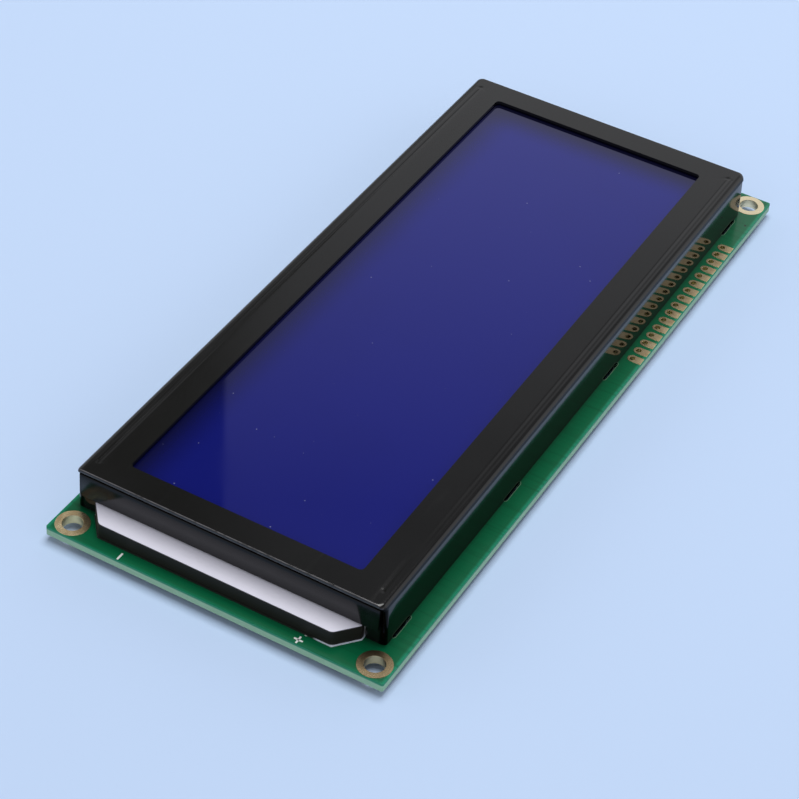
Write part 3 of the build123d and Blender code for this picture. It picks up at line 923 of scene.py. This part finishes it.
class LCD_OT_back(ModuleOperator):
    """Makes the epoxy domes, the backlight's pins and their solder joints"""

    bl_idname = "lcd.back"
    bl_label = "Back parts"

    def execute(self, context):
        sizes = context.scene.lcd_back
        epoxy = make_plain_finish("black_epoxy", sizes.epoxy, 0.22, 1500, 0.10)
        solder = make_plain_finish("bright_solder", sizes.solder, 0.24, 2500, 0.08, Metallic=1.0)
        pin_metal = make_plain_finish("tinned_pin", (0.56, 0.56, 0.54), 0.32, 3000, 0.10, Metallic=1.0)
        domes = (
            ("controller_dome", "controller_blob", (controller_place,), sizes.controller_radius),
            ("driver_domes", "driver_blobs", driver_places, sizes.driver_radius),
        )
        for name, node, places, radius in domes:
            surfaces = Surfaces()
            for x in places:
                self.add_dome(surfaces, sizes, x, radius)
            surfaces.build(name, epoxy, "epoxy", [node])
        joints = Surfaces()
        pins = Surfaces()
        pin_low, pin_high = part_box("backlight_pins")
        pin_x = (pin_low.x + pin_high.x) / 2
        for y in (pin_low.y + sizes.pin_radius, pin_high.y - sizes.pin_radius):
            self.add_joint(joints, sizes, pin_x, y)
            self.add_pin(pins, sizes, pin_x, y, pin_low.z, pin_high.z)
        joints.build("solder_joints", solder, "solder", ["pin_solder_joints"])
        pins.build("backlight_feed_pins", pin_metal, "tinned_metal", ["backlight_pins"])
        resistor = make_plain_finish("resistor_bodies", (0.02, 0.02, 0.022), 0.40, 4000)
        capacitor = make_plain_finish("capacitor_bodies", (0.42, 0.29, 0.17), 0.45, 4000)
        chips = (
            ("resistor_chips", "chip_resistors", resistor, "resistor_body", 6),
            ("capacitor_chips", "chip_capacitors", capacitor, "capacitor_body", 3),
        )
        ends = Surfaces()
        for name, node, finish, slot, count in chips:
            low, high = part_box(node)
            bodies = Surfaces()
            for x in np.linspace(low.x + sizes.chip_width / 2, high.x - sizes.chip_width / 2, count):
                self.add_block(bodies, x, (low.y + high.y) / 2, sizes.chip_width, high.y - low.y, low.z)
                for y, side in ((low.y, 1), (high.y, -1)):
                    self.add_end(ends, sizes, x, y, side, low.z)
            bodies.build(name, finish, slot, [node])
        ends.build("tinned_chip_ends", pin_metal, "tinned_metal", [])
        return {"FINISHED"}

    @staticmethod
    def add_block(surfaces, x, y, width, depth, under):
        """A chip's body: a rounded rectangle whose last rows curve in towards its face."""
        ease = 0.06 * mm
        turn = np.linspace(0, np.pi / 2, 5)
        inset = np.concatenate(([0], ease * (1 - np.cos(turn)), [width * 0.25]))
        height = np.concatenate(([board_under], under + ease * (1 - np.sin(turn)), [under]))
        half_x, half_y = width / 2 - ease - inset, depth / 2 - ease - inset
        steps = spaced(-1, 1, 5)
        edge_x, edge_y = rounded_loop(half_x, half_y, np.full(half_x.shape, ease), steps, steps, 4)
        surfaces.cup(stack(x + edge_x, y + edge_y, height[:, None]))

    @staticmethod
    def add_end(surfaces, sizes, x, y, side, under):
        """A tinned end: a cap over the chip's end, and solder that falls in a curve to the board."""
        cap = 0.42 * mm
        reach = 0.35 * mm
        fall = np.linspace(0, 1, 7)
        rise = board_under - under
        along = np.concatenate((np.linspace(cap, 0, 5), -reach * fall[1:]))[:, None]
        drop = np.concatenate((np.full(5, rise), rise * (1 - fall[1:]) ** 2.2))[:, None]
        across = np.linspace(-sizes.chip_width / 2, sizes.chip_width / 2, 7)[None, :]
        round_off = 1 - 0.10 * np.abs(across / (sizes.chip_width / 2)) ** 6
        under = board_under - drop * round_off - 0.02 * mm
        surfaces.plate(x + across, y + side * along, under, board_under)

    @staticmethod
    def add_dome(surfaces, sizes, x, radius):
        """An epoxy dome: its depth follows a flattened circle, with a slow swell round its rim."""
        disc_x, disc_y = disc_grid(41)
        away = np.minimum(np.hypot(disc_x, disc_y), 1)
        angle = np.arctan2(disc_y, disc_x)
        edge = radius * (1 - 0.02 * (1 - np.cos(3 * angle + x * 400)) * away)
        depth = sizes.dome_height * (1 - away ** 2.6) ** 0.62
        surfaces.plate(x + edge * disc_x, display_y + edge * disc_y, board_under - depth, board_under)

    @staticmethod
    def add_joint(surfaces, sizes, x, y):
        """A solder joint: a concave cone whose reach shrinks fast near the board and slowly above."""
        turn = np.linspace(0, 2 * np.pi, 24, endpoint=False)
        rise = np.linspace(0, 1, 9)
        neck, bore = 0.4 * mm, sizes.pin_radius * 0.8
        reach = neck + (sizes.joint_radius - neck) * (1 - rise) ** 2.4
        reach = np.concatenate((reach, [bore, bore]))[:, None]
        height = board_under - np.concatenate((rise, [1, 0]))[:, None] * sizes.joint_height
        surfaces.ring(stack(x + reach * np.cos(turn), y + reach * np.sin(turn), height))

    @staticmethod
    def add_pin(surfaces, sizes, x, y, low, high):
        """A round pin: two discs joined by its side, the lower one domed."""
        disc_x, disc_y = disc_grid(13)
        away = np.minimum(np.hypot(disc_x, disc_y), 1)
        tip = sizes.pin_radius * 0.7 * (1 - np.sqrt(1 - away ** 2 * 0.999))
        flat_x, flat_y = x + sizes.pin_radius * disc_x, y + sizes.pin_radius * disc_y
        surfaces.plate(flat_x, flat_y, high, low + tip)


class LCD_OT_finishes(ModuleOperator):
    """Gives every CAD node that stays its own finish"""

    bl_idname = "lcd.finishes"
    bl_label = "CAD finishes"

    def execute(self, context):
        bezel = context.scene.lcd_bezel
        board = context.scene.lcd_board
        colours = context.scene.lcd_display
        nodes = frame["nodes"]
        white = make_plain_finish("white_film", (0.80, 0.81, 0.84), 0.45, 3000)
        film = make_film_finish(colours, bezel)
        glass = make_plain_finish(
            "clear_glass", (0.70, 0.80, 0.78), 0.08, 500, 0.02, Transmission_Weight=0.6
        )
        rubber = make_layered_finish()
        finishes = {
            "circuit_board": make_board_finish(board, bezel),
            "bezel_gasket": make_plain_finish("black_foam", (0.010, 0.010, 0.012), 0.85, 2500, 0.5),
            "front_polarizer": film,
            "front_glass": glass,
            "rear_glass": glass,
            "rear_polarizer": film,
            "diffuser_sheet": white,
            "header_side_zebra": rubber,
            "plain_side_zebra": rubber,
            "reflector_sheet": make_lip_finish(),
            "backlight_tray": make_plain_finish("moulded_tray", colours.tray, 0.42, 1800),
            "light_guide": make_plain_finish(
                "clear_acrylic", (0.80, 0.88, 0.92), 0.10, 600, 0.03, Transmission_Weight=0.7
            ),
            "nose_film": make_plain_finish("nose_film", colours.nose, 0.40, 2600),
            "side_tape": make_plain_finish(
                "black_tape", colours.tape, 0.50, 2200, 0.25, Specular_IOR_Level=0.3
            ),
            "led_strip_board": make_plain_finish("white_strip", (0.76, 0.77, 0.76), 0.35, 2000),
            "side_leds": make_plain_finish("diode_bodies", (0.80, 0.72, 0.30), 0.30, 2500),
        }
        for name, finish in finishes.items():
            mesh = nodes[name].data
            mesh.materials.clear()
            mesh.materials.append(finish.material)
        return {"FINISHED"}


class LCD_OT_stage(ModuleOperator):
    """Sets the floor, the soft studio light and the camera"""

    bl_idname = "lcd.stage"
    bl_label = "Stage"

    def execute(self, context):
        settings = context.scene.lcd_stage
        self.add_floor(settings)
        self.set_world(context.scene)
        self.add_lamp("top_lamp", (-0.20, -0.02, 1.0), (0, 0, 0), 0.60, 0.70, 7.8)
        self.add_camera(context.scene, settings)
        context.scene.view_settings.view_transform = "Standard"
        return {"FINISHED"}

    @staticmethod
    def add_floor(settings):
        """A wide flat grid under the module."""
        steps = np.linspace(-4, 4, 9)
        x, y = np.meshgrid(steps, steps)
        points = stack(x, y, -0.01 * mm).reshape(-1, 3)
        faces = quads(np.arange(x.size).reshape(x.shape))
        mesh = bpy.data.meshes.new("floor")
        mesh.from_pydata(points.tolist(), [], faces.tolist())
        finish = Finish("pale_floor", Roughness=0.7, Specular_IOR_Level=0.1)
        finish.set("Base Color", settings.floor)
        mesh.materials.append(finish.material)
        floor = new_object("floor", mesh)

    @staticmethod
    def set_world(scene):
        """A soft room: bright low down and dim overhead, with a darker wall beyond one corner."""
        world = bpy.data.worlds.new("soft_room")
        world.use_nodes = True
        scene.world = world
        room = Graph(world.node_tree)
        across, along, height = room.parts(room.add("ShaderNodeTexCoord").outputs["Generated"])
        overhead = height.ramp(0.54, 0.69) * 0.76
        tone = room.mix(overhead, (0.84, 0.85, 0.88), (0, 0, 0.001))
        ratio = along / across.least(-0.001)
        recess = ratio.smooth(0.636, 0.641) * (1 - ratio.smooth(0.66, 0.85) * 0.7)
        dark = room.mix(recess * (1 - across.smooth(-0.2, -0.1)), tone, (0.06, 0.06, 0.04))
        room.feed(world.node_tree.nodes["Background"].inputs[0], dark)

    @staticmethod
    def add_lamp(name, place, target, width, length_of_lamp, power):
        """A long soft lamp at a place, facing a target."""
        lamp = bpy.data.lights.new(name, "AREA")
        lamp.shape = "RECTANGLE"
        lamp.size = width
        lamp.size_y = length_of_lamp
        lamp.energy = power
        holder = new_object(name, lamp)
        holder.location = place
        holder.rotation_euler = (Vector(target) - Vector(place)).to_track_quat("-Z", "Y").to_euler()

    @staticmethod
    def add_camera(scene, settings):
        """The camera at the photograph's angle, turned a little about its own line of sight."""
        place = Vector((301.4, 148.2, 284.8)) * mm
        target = Vector((15.0, 0.6, 2.8)) * mm
        roll = np.radians(4.19)
        look = (target - place).normalized()
        level = look.cross(Vector((0, 0, 1))).normalized()
        upright = level.cross(look)
        right = level * np.cos(roll) + upright * np.sin(roll)
        up = right.cross(look)
        camera = bpy.data.cameras.new("camera")
        camera.lens = settings.lens
        camera.sensor_width = 36
        holder = new_object("camera", camera)
        turn = Matrix((right, up, -look)).transposed().to_4x4()
        holder.matrix_world = Matrix.Translation(place) @ turn
        scene.camera = holder


class LCD_PT_panel(bpy.types.Panel):
    """Lists the module's operators in the 3D view's sidebar"""

    bl_idname = "LCD_PT_panel"
    bl_label = "Display Module"
    bl_space_type = "VIEW_3D"
    bl_region_type = "UI"
    bl_category = "Display Module"

    def draw(self, context):
        for operator in operators:
            self.layout.operator(operator.bl_idname)
        for group in groups:
            for name in group[1].__annotations__:
                self.layout.prop(getattr(context.scene, group[0]), name)


groups = (
    ("lcd_bezel", BezelSizes),
    ("lcd_board", BoardSizes),
    ("lcd_back", BackSizes),
    ("lcd_display", DisplayColours),
    ("lcd_stage", StageSettings),
)
operators = (LCD_OT_bezel, LCD_OT_lands, LCD_OT_marks, LCD_OT_back, LCD_OT_finishes, LCD_OT_stage)


def register():
    """Registers the property groups, the operators and the panel."""
    for name, group in groups:
        bpy.utils.register_class(group)
        setattr(bpy.types.Scene, name, PointerProperty(type=group))
    for operator in operators:
        bpy.utils.register_class(operator)
    bpy.utils.register_class(LCD_PT_panel)


def unregister():
    """Takes the panel, the operators and the property groups away again."""
    bpy.utils.unregister_class(LCD_PT_panel)
    for operator in reversed(operators):
        bpy.utils.unregister_class(operator)
    for name, group in reversed(groups):
        delattr(bpy.types.Scene, name)
        bpy.utils.unregister_class(group)


def main():
    """Makes every piece in order."""
    register()
    bpy.ops.lcd.bezel()
    bpy.ops.lcd.lands()
    bpy.ops.lcd.marks()
    bpy.ops.lcd.back()
    bpy.ops.lcd.finishes()
    bpy.ops.lcd.stage()
    bpy.context.view_layer.update()


if __name__ == "__main__":
    main()
